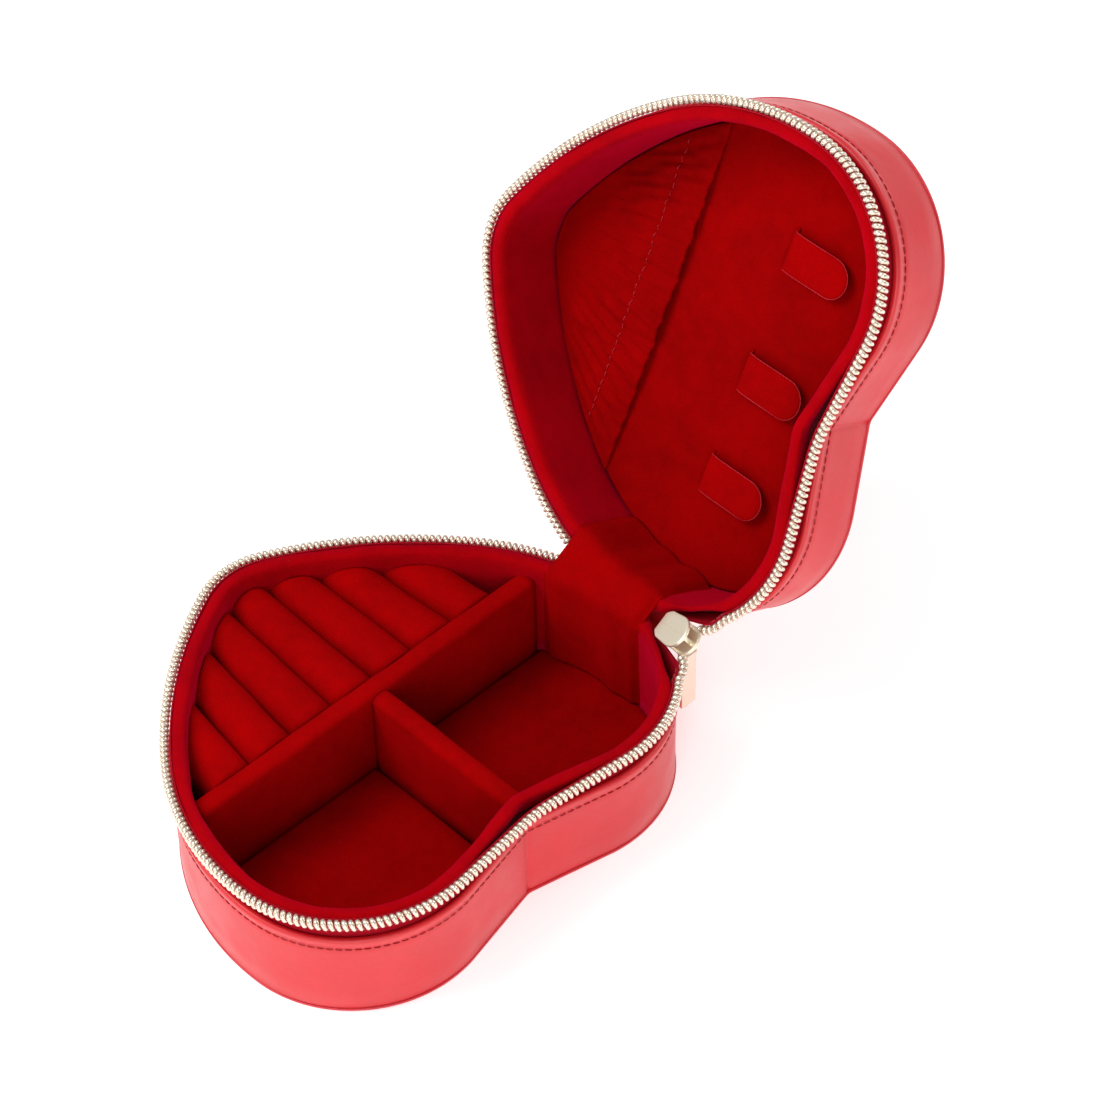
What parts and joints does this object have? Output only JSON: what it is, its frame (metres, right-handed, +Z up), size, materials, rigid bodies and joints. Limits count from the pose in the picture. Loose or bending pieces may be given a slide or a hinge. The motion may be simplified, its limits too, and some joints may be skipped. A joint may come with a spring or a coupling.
{
  "type": "ring box",
  "caption": "Heart-shaped zip-round jewellery case for rings: padded base with ring rolls and compartments, hinged lid with pocket and necklace straps.",
  "frame": {"origin": "middle of the base's flat bottom face, on the heart's middle line", "axes": "+Z up; the heart's tip points to -X and its notch to +X; the lid is hinged at the back, +Y; stored with the lid open 117 degrees"},
  "size_m": [0.1082, 0.1961, 0.1382],
  "materials": {
    "leather_outer": "soft sheen coral-red leather",
    "board": "grey board",
    "velvet_lining": "deep red velvet",
    "velvet_rolls": "deep red velvet over foam",
    "tape": "woven crimson tape",
    "coil": "champagne coated coil",
    "gold": "pale gold plate",
    "rose": "rose-gold plate",
    "snap_metal": "pale gold plate",
    "elastic": "velvet-covered elastic"
  },
  "bodies": {
    "base": {"base_leather_wall": "leather_outer", "base_bottom_panel": "leather_outer", "base_wall_board": "board", "base_bottom_board": "board", "base_lining": "velvet_lining", "base_floor_pad_front": "velvet_lining", "base_floor_pad_back": "velvet_lining", "base_floor_pad_tip": "velvet_lining", "ring_roll_bed": "velvet_rolls", "ring_roll_1": "velvet_rolls", "ring_roll_2": "velvet_rolls", "ring_roll_3": "velvet_rolls", "ring_roll_4": "velvet_rolls", "ring_roll_5": "velvet_rolls", "ring_roll_6": "velvet_rolls", "ring_roll_7": "velvet_rolls", "main_divider": "velvet_rolls", "cross_divider": "velvet_rolls", "base_zip_tape": "tape", "base_zip_coil": "coil", "hinge_spine": "leather_outer", "hinge_gusset": "velvet_lining"},
    "lid": {"lid_leather_wall": "leather_outer", "lid_top_panel": "leather_outer", "lid_wall_board": "board", "lid_top_board": "board", "lid_lining": "velvet_lining", "lid_panel_pad": "velvet_lining", "lid_pocket": "velvet_lining", "pocket_elastic": "elastic", "snap_stud_1": "snap_metal", "snap_stud_2": "snap_metal", "snap_stud_3": "snap_metal", "lid_zip_tape": "tape", "lid_zip_coil": "coil"},
    "necklace_strap_1": {"strap_1": "velvet_lining", "snap_cap_1": "snap_metal"},
    "necklace_strap_2": {"strap_2": "velvet_lining", "snap_cap_2": "snap_metal"},
    "necklace_strap_3": {"strap_3": "velvet_lining", "snap_cap_3": "snap_metal"},
    "zip_slider": {"zip_slider": "gold"},
    "pull_link": {"pull_link": "gold"},
    "pull_tab": {"pull_tab": "rose"}
  },
  "joints": [
    {"name": "lid_hinge", "type": "hinge", "parent": "base", "child": "lid", "pos_m": [0, 0.0585, 0.0318], "axis": [1, 0, 0], "range_deg": [0, 117], "deforming": ["hinge_spine", "hinge_gusset"]},
    {"name": "slider_fold", "type": "hinge", "parent": "base", "child": "zip_slider", "pos_m": [0, 0.0585, 0.0318], "axis": [1, 0, 0], "range_deg": [0, 58.5]},
    {"name": "link_hang", "type": "hinge", "parent": "zip_slider", "child": "pull_link", "pos_m": [0.02843, 0.05954, 0.02848], "axis": [1, 0, 0], "range_deg": [-58.5, 0]},
    {"name": "pull_swing", "type": "hinge", "parent": "pull_link", "child": "pull_tab", "pos_m": [0.02843, 0.05954, 0.02588], "axis": [0, -1, 0], "range_deg": [-15, 90]},
    {"name": "strap_1_swing", "type": "hinge", "parent": "lid", "child": "necklace_strap_1", "pos_m": [0.0061, 0.11327, 0.09985], "axis": [0, -0.454, -0.891], "range_deg": [0, 100]},
    {"name": "strap_2_swing", "type": "hinge", "parent": "lid", "child": "necklace_strap_2", "pos_m": [0.0061, 0.09933, 0.0725], "axis": [0, -0.454, -0.891], "range_deg": [0, 100]},
    {"name": "strap_3_swing", "type": "hinge", "parent": "lid", "child": "necklace_strap_3", "pos_m": [0.0061, 0.08739, 0.04907], "axis": [0, -0.454, -0.891], "range_deg": [0, 100]}
  ],
  "couplings": [
    {"joint": "slider_fold", "follows": "lid_hinge", "ratio": 0.5},
    {"joint": "link_hang", "follows": "lid_hinge", "ratio": -0.5}
  ]
}
